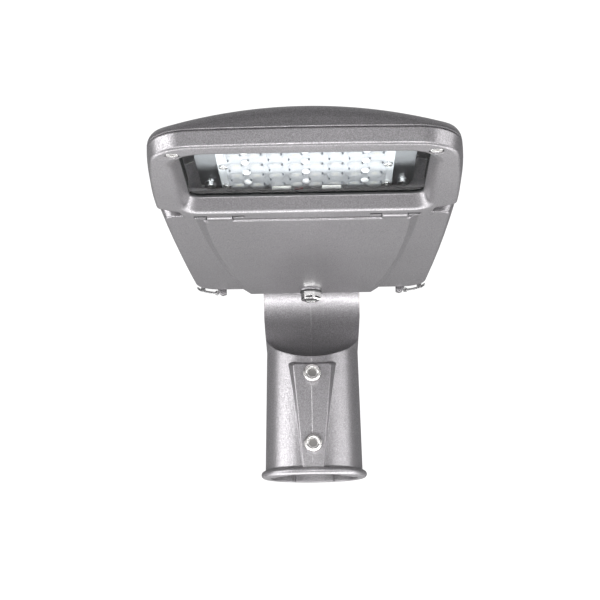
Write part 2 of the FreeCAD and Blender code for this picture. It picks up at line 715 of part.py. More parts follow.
# holes
s = sketch(b, "XY_Plane", z_face)
for x, y in FRONT:
    circle(s, x, y, 4.1)
cut(b, s, 3.0, rev=True)
s = sketch(b, "XY_Plane", z_face)
for x, y in FRONT:
    circle(s, x, y, 2.2)
cut(b, s, 14.0, rev=True)
s = sketch(b, "XY_Plane", 138.0)
for x, y, side in CLIPS:
    circle(s, x, y, 1.55)
cut(b, s, 12.0, rev=True)
s = sketch(b, "XY_Plane", 135.5)
for x, y in REAR:
    circle(s, x, y, 2.05)
cut(b, s, 12.0, rev=True)
# notched rear corners, over the rear screws
s = sketch(b, "XY_Plane", z_face - 1)
for sx in (-1, 1):
    loop(s, [(x * sx, y) for x, y in ((100.0, -250.4), (88.6, -241.6), (82.4, -237.6), (80.0, -237.0), (78.4, -235.4),
                                      (74.6, -214.0), (100.0, -214.0))])
cut(b, s, z_seam - 2.2 - z_face + 1, rev=True)
# groove of the bay's seal
s = sketch(b, "XY_Plane", z_seam - 1.2)
seal_ring(s, 1.6, -227.8)
seal_ring(s, 3.2, -229.6)
cut(b, s, 3.0, rev=True)
# hinge: gaps for the door's knuckles, pin holes and the slots beside them
s = sketch(b, "XY_Plane", z_face - 1)
for sx in (-1, 1):
    rect(s, 46.2 * sx, -226.6, 63.2 * sx, -210.0)
cut(b, s, 9.6, rev=True)
s = sketch(b, "XY_Plane", z_face - 1)
for sx in (-1, 1):
    rect(s, 63.0 * sx, -226.6, 70.6 * sx, -223.4)
    rect(s, 39.0 * sx, -226.6, 46.4 * sx, -223.6)
cut(b, s, 8.6, rev=True)
s = sketch(b, "YZ_Plane")
circle(s, hinge_y, hinge_z, pin_r + 0.02)
cut(b, s, 2 * 74.5, mid=True)
keep(b)

# seal between frame and housing
b = body("bay_seal")
s = sketch(b, "XY_Plane", z_seam - 1.2)
seal_ring(s, 1.6, -227.8)
seal_ring(s, 3.2, -229.6)
pad(b, s, 1.2)
keep(b)

# glass and its gasket
b = body("lens_gasket")
s = sketch(b, "XY_Plane", glass_z - 1)
rrect(s, -76.6, -331.0, 76.6, -238.0, 18.8, 5.7)
rrect(s, -win_w + 4.3, win_f + 8.2, win_w - 4.3, win_b - 9.9, 15.8, 6.8)
pad(b, s, 1.0)
keep(b)
b = body("lens_glass")
s = sketch(b, "XY_Plane", glass_z)
rrect(s, -75.8, -330.5, 75.8, -238.5, 18, 5)
pad(b, s, glass_t)
keep(b)

b = body("glass_clips")
s = sketch(b, "XY_Plane", glass_z + glass_t)
for x, y, side in CLIPS:
    if side:
        rect(s, x + 3.1 * side, y - 4, x - 10.9 * side, y + 4)
    else:
        rect(s, x - 4, y - 3.1, x + 4, y + 10.9)
    circle(s, x, y, 1.6)
pad(b, s, 0.8)
keep(b)


def screws(label, spots, seat, down, head_r, head_h, shank_r, length, socket=None):
    """Cap screws: head on the side that `down` names, shank the other way."""
    b = body(label)
    s = sketch(b, "XY_Plane", seat)
    for x, y in spots:
        circle(s, x, y, head_r)
    pad(b, s, head_h, rev=down)
    rim = q(seat).v + (-q(head_h).v if down else q(head_h).v)
    fillet(b, lambda e: near(mid_of(e).z, rim), min(0.5, head_h * 0.25))
    s = sketch(b, "XY_Plane", seat)
    for x, y in spots:
        circle(s, x, y, shank_r)
    pad(b, s, length, rev=not down)
    if socket:
        s = sketch(b, "XY_Plane", rim)
        for x, y in spots:
            hexagon(s, x, y, socket[0])
        cut(b, s, socket[1], rev=down)
    keep(b)
    return b


screws("clip_screws", [c[:2] for c in CLIPS], glass_z + glass_t + 0.8, False, 2.75, 2.0, 1.5, 7.5, (2.5, 1.0))
screws("frame_front_screws", FRONT, z_face + 3.0, True, 3.6, 2.6, 2.0, 11.0, (2.5, 1.4))
screws("frame_rear_screws", REAR, z_seam - 2.2, True, 3.2, 2.2, 2.0, 5.0, (2.5, 1.2))

# hinge pins
b = body("hinge_pins")
s = sketch(b, "YZ_Plane", 35.6)
circle(s, hinge_y, hinge_z, pin_r)
pad(b, s, 38.8)
s = sketch(b, "YZ_Plane", -35.6)
circle(s, hinge_y, hinge_z, pin_r)
pad(b, s, 38.8, rev=True)
keep(b)


# ---- driver door -----------------------------------------------------------
def side_x(y):
    return 93.0 - (y + 245.0) ** 2 / (2 * 3341.0)


def door_outline(s, d, front, rear, fr=7.0):
    """Plan of the door, sides moved inwards by d."""
    front, rear, d = q(front), q(rear), q(d)
    y0, y1 = front.v + fr, -56.0
    ym = (y0 + y1) / 2
    half = []
    for sd in (1, -1):
        a = ((side_x(y0) - 6.6 - d) * sd, front)
        am = ((side_x(y0) - 1.95 - d) * sd, front + fr * 0.29)
        p = ((side_x(y0) - d) * sd, front + fr)
        pm = ((side_x(ym) - d) * sd, ym)
        r = ((side_x(y1) - d) * sd, q(y1))
        rm = ((side_x(y1) - d - (19.0 - d) * 0.29) * sd, rear + (q(y1) - rear) * 0.29)
        e = (q(side_x(y1) - 19.0) * sd, rear)
        half.append((a, am, p, pm, r, rm, e))
    (a, am, p, pm, r, rm, e), (a2, am2, p2, pm2, r2, rm2, e2) = half
    loop(s, [a + (am,), p + (pm,), r + (rm,), e, e2 + (rm2,), r2 + (pm2,), p2 + (am2,), a2])


def panel_outline(s, half0, mid0, half1, front, rear):
    front, rear = q(front), q(rear)
    loop(s, [(half0, front, (mid0, -127.6)), (half1, rear), (-q(half1), rear, (-q(mid0), -127.6)), (-q(half0), front)])


wing_z = dim("wing_z", 136.7, "lower face of the door's wings")
door_top = dim("door_top", 142.7)
b = body("driver_door")
secs = []
for dz, d in ((0.0, 4.0), (0.21, 3.2), (0.8, 2.61), (1.6, 2.4), (6.0, 0.4)):          # rounded lower edge, drafted side
    s = sketch(b, "XY_Plane", wing_z + dz)
    door_outline(s, d, door_front, -38.1 - 0.6 * (d - 0.4))
    secs.append(s)
loft(b, secs, ruled=True)
s0 = sketch(b, "XY_Plane", z_face)
panel_outline(s0, 64.4, 59.6, 44.5, door_front, door_rear)
s1 = sketch(b, "XY_Plane", wing_z + 0.6)
panel_outline(s1, 71.5, 64.9, 51.2, door_front, door_rear)
loft(b, [s0, s1], ruled=True)
fillet(b, lambda e: near(mid_of(e).z, z_face), 1.0)
# low boss of the vent
s = sketch(b, "XY_Plane", z_face + 1)
circle(s, 0, vent_y, 8.2)
pad(b, s, 1.8, rev=True)
# hollow
s = sketch(b, "XY_Plane", door_top - 3.0)
door_outline(s, 5.2, door_front + 4.6, -42.6, 6.0)
cut(b, s, 8, rev=True)
s = sketch(b, "XY_Plane", z_face + 3.0)
panel_outline(s, 61.6, 57.0, 46.6, door_front + 4.6, -58.0)
cut(b, s, 12, rev=True)
# seal groove
s = sketch(b, "XY_Plane", door_top - 1.2)
door_outline(s, 2.2, door_front + 1.5, -39.7)
door_outline(s, 4.0, door_front + 3.3, -41.5, 6.5)
cut(b, s, 3, rev=True)
# knuckles
for sx in (-1, 1):
    s = sketch(b, "YZ_Plane", 46.9 * sx)
    c = knuckle_r * math.sqrt(0.5)
    loop(s, [(hinge_y, hinge_z + knuckle_r, (hinge_y - c, hinge_z + c)),
             (hinge_y - knuckle_r, hinge_z, (hinge_y - c, hinge_z - c)), (hinge_y, hinge_z - knuckle_r),
             (door_front + 3.0, z_face + 0.2), (door_front + 3.0, hinge_z + knuckle_r)])
    pad(b, s, 15.6, rev=sx < 0)
s = sketch(b, "YZ_Plane")
circle(s, hinge_y, hinge_z, pin_r + 0.07)
cut(b, s, 140, mid=True)
# vent hole
s = sketch(b, "XY_Plane", 130)
circle(s, 0, vent_y, 6.0)
cut(b, s, 14, rev=True)
keep(b)

b = body("door_seal")
s = sketch(b, "XY_Plane", door_top - 1.2)
door_outline(s, 2.2, door_front + 1.5, -39.7)
door_outline(s, 4.0, door_front + 3.3, -41.5, 6.5)
pad(b, s, 1.45)
keep(b)

# breather plug with its ring
b = body("vent_plug")
s = sketch(b, "XY_Plane", 131.0)
hexagon(s, 0, vent_y, 13.1, -20.4)
pad(b, s, 5.8, rev=True)
fillet(b, lambda e: near(mid_of(e).z, 125.2), 0.7, "Chamfer")
s = sketch(b, "XY_Plane", 126.0)
circle(s, 0, vent_y, 5.9)
pad(b, s, 14.0)
s = sketch(b, "XY_Plane", 125.2)
circle(s, 0, vent_y, 4.3)
cut(b, s, 0.7, rev=True)
s = sketch(b, "XY_Plane", 126.4)                       # a window in each flat
for k in range(6):
    ca, sa = math.cos(math.radians(9.6 + 60 * k)), math.sin(math.radians(9.6 + 60 * k))
    loop(s, [(r * ca - w * sa, vent_y + r * sa + w * ca) for r, w in ((5.0, -2.5), (9.0, -2.5), (9.0, 2.5), (5.0, 2.5))])
cut(b, s, 1.2, rev=True)
keep(b)
b = body("vent_ring")
s = sketch(b, "XY_Plane", 131.0)
circle(s, 0, vent_y, 7.9)
circle(s, 0, vent_y, 6.0)
pad(b, s, 1.2)
keep(b)


# ---- optical module --------------------------------------------------------
PLATE = [(sx * 60.0, y) for sx in (-1, 1) for y in (-226.0, -306.0)]
MODULE = [(sx * 49.5, y) for sx in (-1, 1) for y in (-227.0, -261.5, -296.0)]
b = body("led_plate")
s = sketch(b, "XY_Plane", plate_z)
rrect(s, -66.0, -312.5, 66.0, board_b, 4.0)
for x, y in PLATE:
    circle(s, x, y, 2.2)
for x, y in MODULE:
    circle(s, x, y, 1.55)
pad(b, s, plate_t)
keep(b)
screws("plate_screws", PLATE, plate_z, True, 3.6, 2.4, 2.0, 6.2, (2.5, 1.2))

b = body("led_board")
s = sketch(b, "XY_Plane", plate_z - board_t)
loop(s, [(-board_w, board_f), (board_w, board_f), (board_w, board_b), (22.5, board_b), (22.5, -214.4), (8.5, -214.4),
         (8.5, board_b), (-8.5, board_b), (-8.5, -214.4), (-22.5, -214.4), (-22.5, board_b), (-board_w, board_b)])
for x, y in MODULE:
    circle(s, x, y, 1.6)
pad(b, s, board_t)
keep(b)
screws("module_screws", MODULE, plate_z - board_t, True, 2.75, 1.9, 1.5, 3.9, (2.5, 1.0))


def grid(b, feature, s, dx, nx, dy, ny):
    """Repeat a feature over the rows and columns of the LED array."""
    f = b.newObject("PartDesign::LinearPattern", b.Name + "_grid")
    f.Originals = [feature]
    f.Direction, f.Length, f.Occurrences = (s, ["H_Axis"]), (q(dx) * (nx - 1)).v, nx
    f.setExpression("Length", (q(dx) * (nx - 1)).e)
    f.Direction2, f.Length2, f.Occurrences2 = (s, ["V_Axis"]), (q(dy) * (ny - 1)).v, ny
    f.setExpression("Length2", (q(dy) * (ny - 1)).e)
    b.Tip = f
    doc.recompute()
    return f


led_x0, led_y0 = led_px * -3.5, q(-295.5)
b = body("led_chips")
s = sketch(b, "XY_Plane", plate_z - board_t - 0.7)
rect(s, led_x0 - 1.75, led_y0 - 1.75, led_x0 + 1.75, led_y0 + 1.75)
grid(b, pad(b, s, 0.7), s, led_px, 8, led_py, 5)
keep(b)

b = body("led_lenses")
s0 = sketch(b, "XY_Plane", plate_z - board_t - 2.3)
rrect(s0, -48.5, -302.0, 48.5, board_b - 0.6, 3.0)
pad(b, s0, 1.5)
s = sketch(b, "XY_Plane", plate_z - board_t - 2.2)
circle(s, led_x0, led_y0, 5.2)
dome = pad(b, s, 3.6, rev=True)
grid(b, dome, s, led_px, 8, led_py, 5)
fillet(b, lambda e: near(mid_of(e).z, plate_z - board_t - 5.8), 2.4)
s = sketch(b, "XY_Plane", plate_z - board_t - 3.3)
for x, y in MODULE:
    circle(s, x, y, 3.3)
cut(b, s, 4.0, rev=True)
keep(b)

b = body("board_connectors")
s = sketch(b, "XY_Plane", plate_z - board_t)
for sx in (-1, 1):
    rect(s, 9.5 * sx, board_b - 0.4, 21.5 * sx, -214.6)
pad(b, s, 5.0, rev=True)
s = sketch(b, "XZ_Plane", 214.6)
for sx in (-1, 1):
    circle(s, 15.5 * sx, 151.0, 1.6)
cut(b, s, 8.0, mid=True)
keep(b)
b = body("led_leads")
s = sketch(b, "XZ_Plane", 187.0)
for sx in (-1, 1):
    circle(s, 15.5 * sx, 151.0, 1.5)
pad(b, s, 31.0)
keep(b)
b = body("lead_grommets")
s = sketch(b, "XZ_Plane", 207.6)
for sx in (-1, 1):
    circle(s, 15.5 * sx, 151.0, 4.35)
    circle(s, 15.5 * sx, 151.0, 1.5)
pad(b, s, 3.4)
s = sketch(b, "XZ_Plane", 205.6)
for sx in (-1, 1):
    circle(s, 15.5 * sx, 151.0, 5.0)
    circle(s, 15.5 * sx, 151.0, 1.5)
pad(b, s, 2.0)
keep(b)

# ---- gear in the driver bay ------------------------------------------------
TRAY = [(sx * 66.0, y) for sx in (-1, 1) for y in (-192.0, -68.0)]
DRIVER = [(0.0, -195.0), (0.0, -75.0)]
b = body("gear_tray")
s = sketch(b, "XY_Plane", tray_z)
rrect(s, -72.0, -199.0, 72.0, -62.0, 5.0)
for x, y in TRAY + DRIVER:
    circle(s, x, y, 2.05)
for x in (-61.0, -41.0):
    circle(s, x, -79.5, 1.6)
pad(b, s, tray_t)
keep(b)
screws("tray_screws", TRAY, tray_z, True, 3.6, 2.4, 2.0, 9.0, (2.5, 1.2))

b = body("led_driver")
s = sketch(b, "XY_Plane", 145.6)
rrect(s, -31.0, -188.0, 31.0, -82.0, 3.0)
pad(b, s, tray_z - 145.6)
fillet(b, lambda e: near(mid_of(e).z, 145.6), 1.5)
s = sketch(b, "XY_Plane", tray_z - 2.0)
rrect(s, -12.0, -200.0, 12.0, -70.0, 3.0)
pad(b, s, 2.0)
s = sketch(b, "XY_Plane", 165)
for x, y in DRIVER:
    circle(s, x, y, 2.1)
cut(b, s, 6.0, rev=True)
s = sketch(b, "XZ_Plane", 188.0)                       # lead outlets
for sx in (-1, 1):
    circle(s, 15.5 * sx, 151.0, 1.5)
cut(b, s, 4.0, mid=True)
keep(b)
screws("driver_screws", DRIVER, tray_z - 2.0, True, 3.6, 2.4, 2.0, 8.0, (2.5, 1.2))

b = body("surge_protector")
s = sketch(b, "XY_Plane", 151.0)
rrect(s, 40.0, -165.0, 64.0, -112.0, 2.0)
pad(b, s, tray_z - 151.0)
fillet(b, lambda e: near(mid_of(e).z, 151.0), 1.0)
keep(b)
b = body("terminal_block")
s = sketch(b, "YZ_Plane", -64.0)
loop(s, [(-136.0, tray_z), (-136.0, 158.0), (-130.0, 154.5), (-106.0, 154.5), (-100.0, 158.0), (-100.0, tray_z)])
pad(b, s, 24.0)
s = sketch(b, "XY_Plane", 154.5)
for i in range(3):
    circle(s, -60.0 + 8.0 * i, -118.0, 2.0)
cut(b, s, 6.0, rev=True)
s = sketch(b, "XZ_Plane", 100.0)
for i in range(3):
    circle(s, -60.0 + 8.0 * i, 164.5, 2.0)
cut(b, s, 12.0, mid=True)
keep(b)
b = body("cord_grip")
s = sketch(b, "XZ_Plane", 75.0)
loop(s, [(-65.0, tray_z), (-65.0, 165.5), (-57.0, 165.5), (-55.0, 161.5), (-47.0, 161.5), (-45.0, 165.5), (-37.0, 165.5),
         (-37.0, tray_z), (-46.0, tray_z), (-47.5, 164.5), (-54.5, 164.5), (-56.0, tray_z)])
pad(b, s, 9.0)
s = sketch(b, "XY_Plane", 160)
for x in (-61.0, -41.0):
    circle(s, x, -79.5, 1.6)
cut(b, s, 14.0, rev=True)
keep(b)
screws("cord_grip_screws", [(-61.0, -79.5), (-41.0, -79.5)], 165.5, True, 2.75, 2.0, 1.55, 8.0, (2.5, 1.0))
b = body("entry_grommet")
s = sketch(b, "XZ_Plane", 14.0)
circle(s, 0, 163.5, 6.95)
pad(b, s, 5.0)
s = sketch(b, "XZ_Plane", 19.0)
circle(s, 0, 163.5, 9.0)
pad(b, s, 2.0)
s = sketch(b, "XZ_Plane", 12.8)
circle(s, 0, 163.5, 9.0)
pad(b, s, 1.2)
s = sketch(b, "XZ_Plane", 16.0)
circle(s, 0, 163.5, 4.0)
cut(b, s, 6.0)
keep(b)

# ---- spring clips behind the door's rear corners ---------------------------
b = body("latch_clips")
BLADE = [(85.3, -46.0), (83.3, -39.1), (77.3, -33.1), (71.7, -30.3), (71.4, -31.1), (76.8, -33.8), (82.6, -39.6), (84.5, -46.2)]
s = sketch(b, "XY_Plane", 135.9)
for sx in (-1, 1):
    loop(s, [(x * sx, y) for x, y in BLADE])
pad(b, s, 1.4)
s = sketch(b, "XY_Plane", 135.9)
for sx in (-1, 1):
    loop(s, [(x * sx, y) for x, y in ((83.3, -39.1), (80.3, -36.1), (79.6, -36.65), (82.6, -39.6))])
pad(b, s, 7.1)
s = sketch(b, "XY_Plane", 142.1)
for sx in (-1, 1):
    loop(s, [(x * sx, y) for x, y in ((83.3, -39.1), (83.6, -34.2), (80.2, -30.2), (76.8, -32.4), (79.6, -36.65), (82.6, -39.6))])
pad(b, s, 0.9)
s = sketch(b, "XZ_Plane", 30.3)
for sx in (-1, 1):
    circle(s, 71.2 * sx, 136.6, 1.8)
pad(b, s, 0.8)
s = sketch(b, "XZ_Plane", 29.0)
for sx in (-1, 1):
    circle(s, 70.9 * sx, 136.6, 0.95)
cut(b, s, 4.0, mid=True)
s = sketch(b, "XY_Plane", 141.0)
for sx in (-1, 1):
    circle(s, 80.0 * sx, -33.7, 1.6)
cut(b, s, 4.0, rev=True)
keep(b)
screws("latch_screws", [(-80.0, -33.7), (80.0, -33.7)], 142.1, True, 2.4, 1.6, 1.5, 5.0, (2.5, 0.8))

# ---- tilt pivot -------------------------------------------------------------
b = body("pivot_bolt")
s = sketch(b, "YZ_Plane", ear_out + 1.5)
hexagon(s, piv_y, piv_z, 16.0, 8.0)
pad(b, s, 6.4)
fillet(b, lambda e: near(mid_of(e).x, ear_out + 7.9), 0.9, "Chamfer")
s = sketch(b, "YZ_Plane", ear_out + 1.5)
circle(s, piv_y, piv_z, pivot_d / 2)
pad(b, s, ear_out * 2 + 16.0, rev=True)
keep(b)
b = body("pivot_nut")
s = sketch(b, "YZ_Plane", -ear_out - 1.5)
hexagon(s, piv_y, piv_z, 16.0, 20.0)
circle(s, piv_y, piv_z, pivot_d / 2 + 0.05)
pad(b, s, 9.5, rev=True)
keep(b)
b = body("pivot_washers")
for sx in (-1, 1):
    s = sketch(b, "YZ_Plane", ear_out * sx)
    circle(s, piv_y, piv_z, 10.0)
    circle(s, piv_y, piv_z, pivot_d / 2 + 0.2)
    pad(b, s, 1.5, rev=sx < 0)
keep(b)
b = body("friction_washers")
for sx in (-1, 1):
    s = sketch(b, "YZ_Plane", 37.35 * sx)
    circle(s, piv_y, piv_z, 13.0)
    circle(s, piv_y, piv_z, pivot_d / 2 + 0.25)
    pad(b, s, 1.1, rev=sx < 0)
keep(b, False)


# ---- closing: set the head's tilt, check everything and write the pieces ---
for o in HEAD:
    turn_with_head(o)
doc.recompute()
for o in doc.Objects:
    for word in ("Invalid", "Error"):
        if word in o.State:
            raise RuntimeError("%s is %s" % (o.Label, o.State))
os.makedirs("parts", exist_ok=True)
names = []
for o in BRACKET + HEAD:
    if o.Shape.isNull() or not o.Shape.isValid() or not o.Shape.Solids:
        raise RuntimeError("%s has no valid solid" % o.Label)
    o.Shape.exportStep("parts/%s.step" % o.Label)
    names.append(o.Label)
    print("%-20s %2d solids %9.2f cm3" % (o.Label, len(o.Shape.Solids), o.Shape.Volume / 1000))
if len(set(names)) != len(names):
    raise RuntimeError("two pieces share a name")
print(len(names), "pieces written")
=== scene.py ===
import json
import math
import bpy
import bmesh
from mathutils import Matrix, Vector
from mathutils.bvhtree import BVHTree
from mathutils.geometry import tessellate_polygon


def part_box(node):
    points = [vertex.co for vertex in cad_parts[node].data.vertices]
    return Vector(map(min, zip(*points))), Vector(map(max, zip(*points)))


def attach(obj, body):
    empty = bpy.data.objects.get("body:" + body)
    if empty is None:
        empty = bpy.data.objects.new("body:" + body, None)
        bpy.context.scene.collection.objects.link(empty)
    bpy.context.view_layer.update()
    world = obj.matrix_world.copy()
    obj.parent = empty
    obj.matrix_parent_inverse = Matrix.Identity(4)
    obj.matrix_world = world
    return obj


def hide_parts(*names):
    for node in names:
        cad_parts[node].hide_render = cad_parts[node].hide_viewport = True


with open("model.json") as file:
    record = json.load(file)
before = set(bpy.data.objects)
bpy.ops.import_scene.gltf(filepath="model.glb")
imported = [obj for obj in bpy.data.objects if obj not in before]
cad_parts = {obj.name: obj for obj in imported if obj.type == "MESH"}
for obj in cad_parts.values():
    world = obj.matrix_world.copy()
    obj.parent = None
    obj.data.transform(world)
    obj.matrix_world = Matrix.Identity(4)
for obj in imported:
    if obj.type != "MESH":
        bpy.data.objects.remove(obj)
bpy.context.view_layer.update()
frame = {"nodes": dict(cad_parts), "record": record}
nodes = frame["nodes"]
MM = 0.001

# The head is stored turned about its pivot: head(p) takes millimetres in the
# head's own level frame to metres in the part's frame.
TILT = math.radians(2.5)
PIVOT = Vector((0.0, 8.0, 170.0))
TURN = Matrix.Rotation(-TILT, 4, "X")


def head(x, y, z):
    return (PIVOT + TURN @ (Vector((x, y, z)) - PIVOT)) * MM


# ---- camera --------------------------------------------------------------
def place_camera():
    h, p, r = math.radians(0.985), math.radians(12.29), math.radians(0.764)
    F = Vector((-math.sin(h) * math.cos(p), math.cos(h) * math.cos(p), math.sin(p)))
    right = Vector((math.cos(h), math.sin(h), 0.0))
    up = right.cross(F)
    R = right * math.cos(r) - up * math.sin(r)
    U = up * math.cos(r) + right * math.sin(r)
    cam = bpy.data.cameras.new("camera")
    cam.sensor_width = 36.0
    cam.lens = 1385.0 * 36.0 / 600.0
    cam.clip_start, cam.clip_end = 0.02, 50.0
    o = bpy.data.objects.new("camera", cam)
    m = Matrix((R, U, -F)).transposed().to_4x4()
    m.translation = Vector((9.13, -1056.26, -91.33)) * MM
    o.matrix_world = m
    bpy.context.scene.collection.objects.link(o)
    bpy.context.scene.camera = o


place_camera()


# ---- node materials --------------------------------------------------------
class Mat:
    """Small helper to wire a principled material."""

    def __init__(self, name):
        self.m = bpy.data.materials.new(name)
        self.m.use_nodes = True
        self.t = self.m.node_tree
        self.t.nodes.clear()
        self.out = self.t.nodes.new("ShaderNodeOutputMaterial")
        self.b = self.t.nodes.new("ShaderNodeBsdfPrincipled")
        self.t.links.new(self.b.outputs[0], self.out.inputs[0])
        self.co = self.t.nodes.new("ShaderNodeTexCoord").outputs["Object"]

    def node(self, kind, **kw):
        n = self.t.nodes.new("ShaderNode" + kind)
        for k, v in kw.items():
            setattr(n, k, v)
        return n

    def link(self, a, b):
        self.t.links.new(a, b)

    def noise(self, scale, detail=2.0, rough=0.5, src=None):
        n = self.node("TexNoise")
        n.inputs["Scale"].default_value = scale
        n.inputs["Detail"].default_value = detail
        n.inputs["Roughness"].default_value = rough
        self.link(src or self.co, n.inputs["Vector"])
        return n.outputs["Fac"]

    def ramp(self, src, stops, mode="LINEAR"):
        n = self.node("ValToRGB")
        n.color_ramp.interpolation = mode
        els = n.color_ramp.elements
        while len(els) < len(stops):
            els.new(0.5)
        for e, (p, c) in zip(els, stops):
            e.position = p
            e.color = tuple(c) + (1.0,) if len(c) == 3 else c
        self.link(src, n.inputs[0])
        return n.outputs["Color"]

    def remap(self, src, a, b, lo=0.0, hi=1.0):
        n = self.node("MapRange")
        n.inputs["From Min"].default_value, n.inputs["From Max"].default_value = lo, hi
        n.inputs["To Min"].default_value, n.inputs["To Max"].default_value = a, b
        self.link(src, n.inputs["Value"])
        return n.outputs["Result"]

    def bump(self, height, strength, distance, normal=None):
        n = self.node("Bump")
        n.inputs["Strength"].default_value = strength
        n.inputs["Distance"].default_value = distance
        self.link(height, n.inputs["Height"])
        if normal is not None:
            self.link(normal, n.inputs["Normal"])
        return n.outputs["Normal"]

    def soft(self, radius):
        n = self.node("Bevel", samples=6)
        n.inputs["Radius"].default_value = radius
        return n.outputs["Normal"]

    def set(self, **kw):
        for k, v in kw.items():
            sock = self.b.inputs[k.replace("_", " ")]
            if hasattr(v, "is_output") or isinstance(v, bpy.types.NodeSocket):
                self.link(v, sock)
            else:
                sock.default_value = v
        return self.m


def coated(name, tone, edge=0.0011, rough=(0.27, 0.42)):
    """Silver-grey powder coat: flake sparkle, orange peel and soft cast edges."""
    m = Mat(name)
    flake = m.noise(1500, 1.0)
    peel = m.noise(420, 2.0)
    broad = m.noise(14, 3.0)
    mix = m.node("Mix", data_type="RGBA", blend_type="MULTIPLY")
    mix.inputs["Factor"].default_value = 1.0
    lo, hi = [c * 0.76 for c in tone], [min(1.0, c * 1.34) for c in tone]
    m.link(m.ramp(flake, [(0.36, lo), (0.52, tone), (0.66, hi)]), mix.inputs["A"])
    m.link(m.ramp(broad, [(0.3, (0.93, 0.93, 0.93)), (0.7, (1.0, 1.0, 1.0))]), mix.inputs["B"])
    n1 = m.bump(peel, 0.16, 0.0004, m.soft(edge) if edge else None)
    n2 = m.bump(flake, 0.10, 0.00025, n1)
    return m.set(Base_Color=mix.outputs["Result"], Metallic=0.72, Roughness=m.remap(flake, rough[1], rough[0], 0.3, 0.7),
                 Normal=n2)


def metal(name, tone, rough=0.25, scratch=600, edge=0.0003):
    m = Mat(name)
    n = m.noise(scratch, 3.0, 0.6)
    lo = [c * 0.90 for c in tone]
    return m.set(Base_Color=m.ramp(n, [(0.3, lo), (0.7, tone)]), Metallic=1.0,
                 Roughness=m.remap(n, rough * 0.85, rough * 1.2), Normal=m.bump(n, 0.05, 0.00008, m.soft(edge)))


def plain(name, tone, rough=0.5, grain=900, strength=0.12, vary=0.08, spec=0.5, metallic=0.0):
    m = Mat(name)
    n = m.noise(grain, 2.0)
    wide = m.noise(22, 2.0)
    mix = m.node("Mix", data_type="RGBA", blend_type="MULTIPLY")
    mix.inputs["Factor"].default_value = 1.0
    m.link(m.ramp(n, [(0.3, [c * (1 - vary) for c in tone]), (0.7, tone)]), mix.inputs["A"])
    m.link(m.ramp(wide, [(0.3, (1 - vary / 2,) * 3), (0.7, (1, 1, 1))]), mix.inputs["B"])
    m.b.inputs["Specular IOR Level"].default_value = spec
    return m.set(Base_Color=mix.outputs["Result"], Roughness=m.remap(n, rough * 0.9, rough * 1.1), Metallic=metallic,
                 Normal=m.bump(n, strength, 0.0003))


def clear(name, tint, rough, film=0.0, ior=1.5):
    """Clear pane: a Fresnel reflection over a see-through body."""
    m = Mat(name)
    t = m.node("BsdfTransparent")
    t.inputs["Color"].default_value = tint + (1.0,)
    g = m.node("BsdfGlossy")
    g.inputs["Roughness"].default_value = rough
    fr = m.node("Fresnel")
    fr.inputs["IOR"].default_value = ior
    wave = m.noise(30, 1.0)
    nrm = m.bump(wave, 0.03, 0.0006)
    m.link(nrm, fr.inputs["Normal"])
    m.link(nrm, g.inputs["Normal"])
    front = m.node("Math", operation="SUBTRACT", use_clamp=True)
    m.link(fr.outputs[0], front.inputs[0])
    m.link(m.node("NewGeometry").outputs["Backfacing"], front.inputs[1])
    mx = m.node("MixShader")
    m.link(front.outputs[0], mx.inputs[0])
    m.link(t.outputs[0], mx.inputs[1])
    m.link(g.outputs[0], mx.inputs[2])
    m.t.nodes.remove(m.b)
    if film:
        d = m.node("BsdfDiffuse")
        m.link(m.ramp(m.noise(240, 2.0), [(0.3, (0.78, 0.80, 0.83)), (0.7, (0.84, 0.85, 0.87))]), d.inputs["Color"])
        fm = m.node("MixShader")
        fm.inputs[0].default_value = film
        m.link(mx.outputs[0], fm.inputs[1])
        m.link(d.outputs[0], fm.inputs[2])
        mx = fm
    m.link(mx.outputs[0], m.out.inputs[0])
    return m.m


COAT = coated("powder_coat", (0.215, 0.208, 0.216))
STEEL = metal("stainless", (0.80, 0.79, 0.78), 0.26)
ZINC = metal("zinc_steel", (0.62, 0.62, 0.62), 0.3)
SHEET = metal("plate_sheet", (0.42, 0.43, 0.45), 0.38, 300)
RUBBER = plain("seal_rubber", (0.02, 0.02, 0.021), 0.55, 1400, 0.15, 0.2)
BOARD = plain("board_white", (0.74, 0.76, 0.79), 0.45, 700, 0.05, 0.05)
CHIP = plain("chip_phosphor", (0.82, 0.66, 0.16), 0.4, 2500, 0.1, 0.1)
NYLON = plain("connector_nylon", (0.83, 0.82, 0.78), 0.45, 800, 0.06, 0.05)
RED = plain("lead_red", (0.42, 0.03, 0.03), 0.5, 900, 0.08)
GEARW = plain("gear_case", (0.72, 0.72, 0.69), 0.5, 600, 0.1)
GEARG = plain("gear_dark", (0.12, 0.125, 0.13), 0.5, 600, 0.1)
FIBRE = plain("friction_fibre", (0.05, 0.05, 0.05), 0.8, 900, 0.3)
GLASS = clear("window_glass", (0.975, 0.985, 0.985), 0.015, 0.0, 1.16)
LENS = clear("lens_clear", (0.99, 0.99, 1.0), 0.10, 0.34, 1.22)

DARK = metal("black_steel", (0.05, 0.05, 0.052), 0.4)

# Near-black for the slot pads, gap washers and gasket strips: painted shade in the slots, the gaps and behind the
# glass, and the real black rubber of the gasket edge.
SHADE_AND_RUBBER_BLACK = plain("painted_shade_and_rubber_black", (0.006, 0.006, 0.006), 0.9, 900, 0.05, 0.1, 0.05)
MARK = plain("pin_marks", (0.14, 0.15, 0.17), 0.5, 900, 0.05)
RIDGE = coated("parting_line", (0.24, 0.235, 0.24), 0.0)
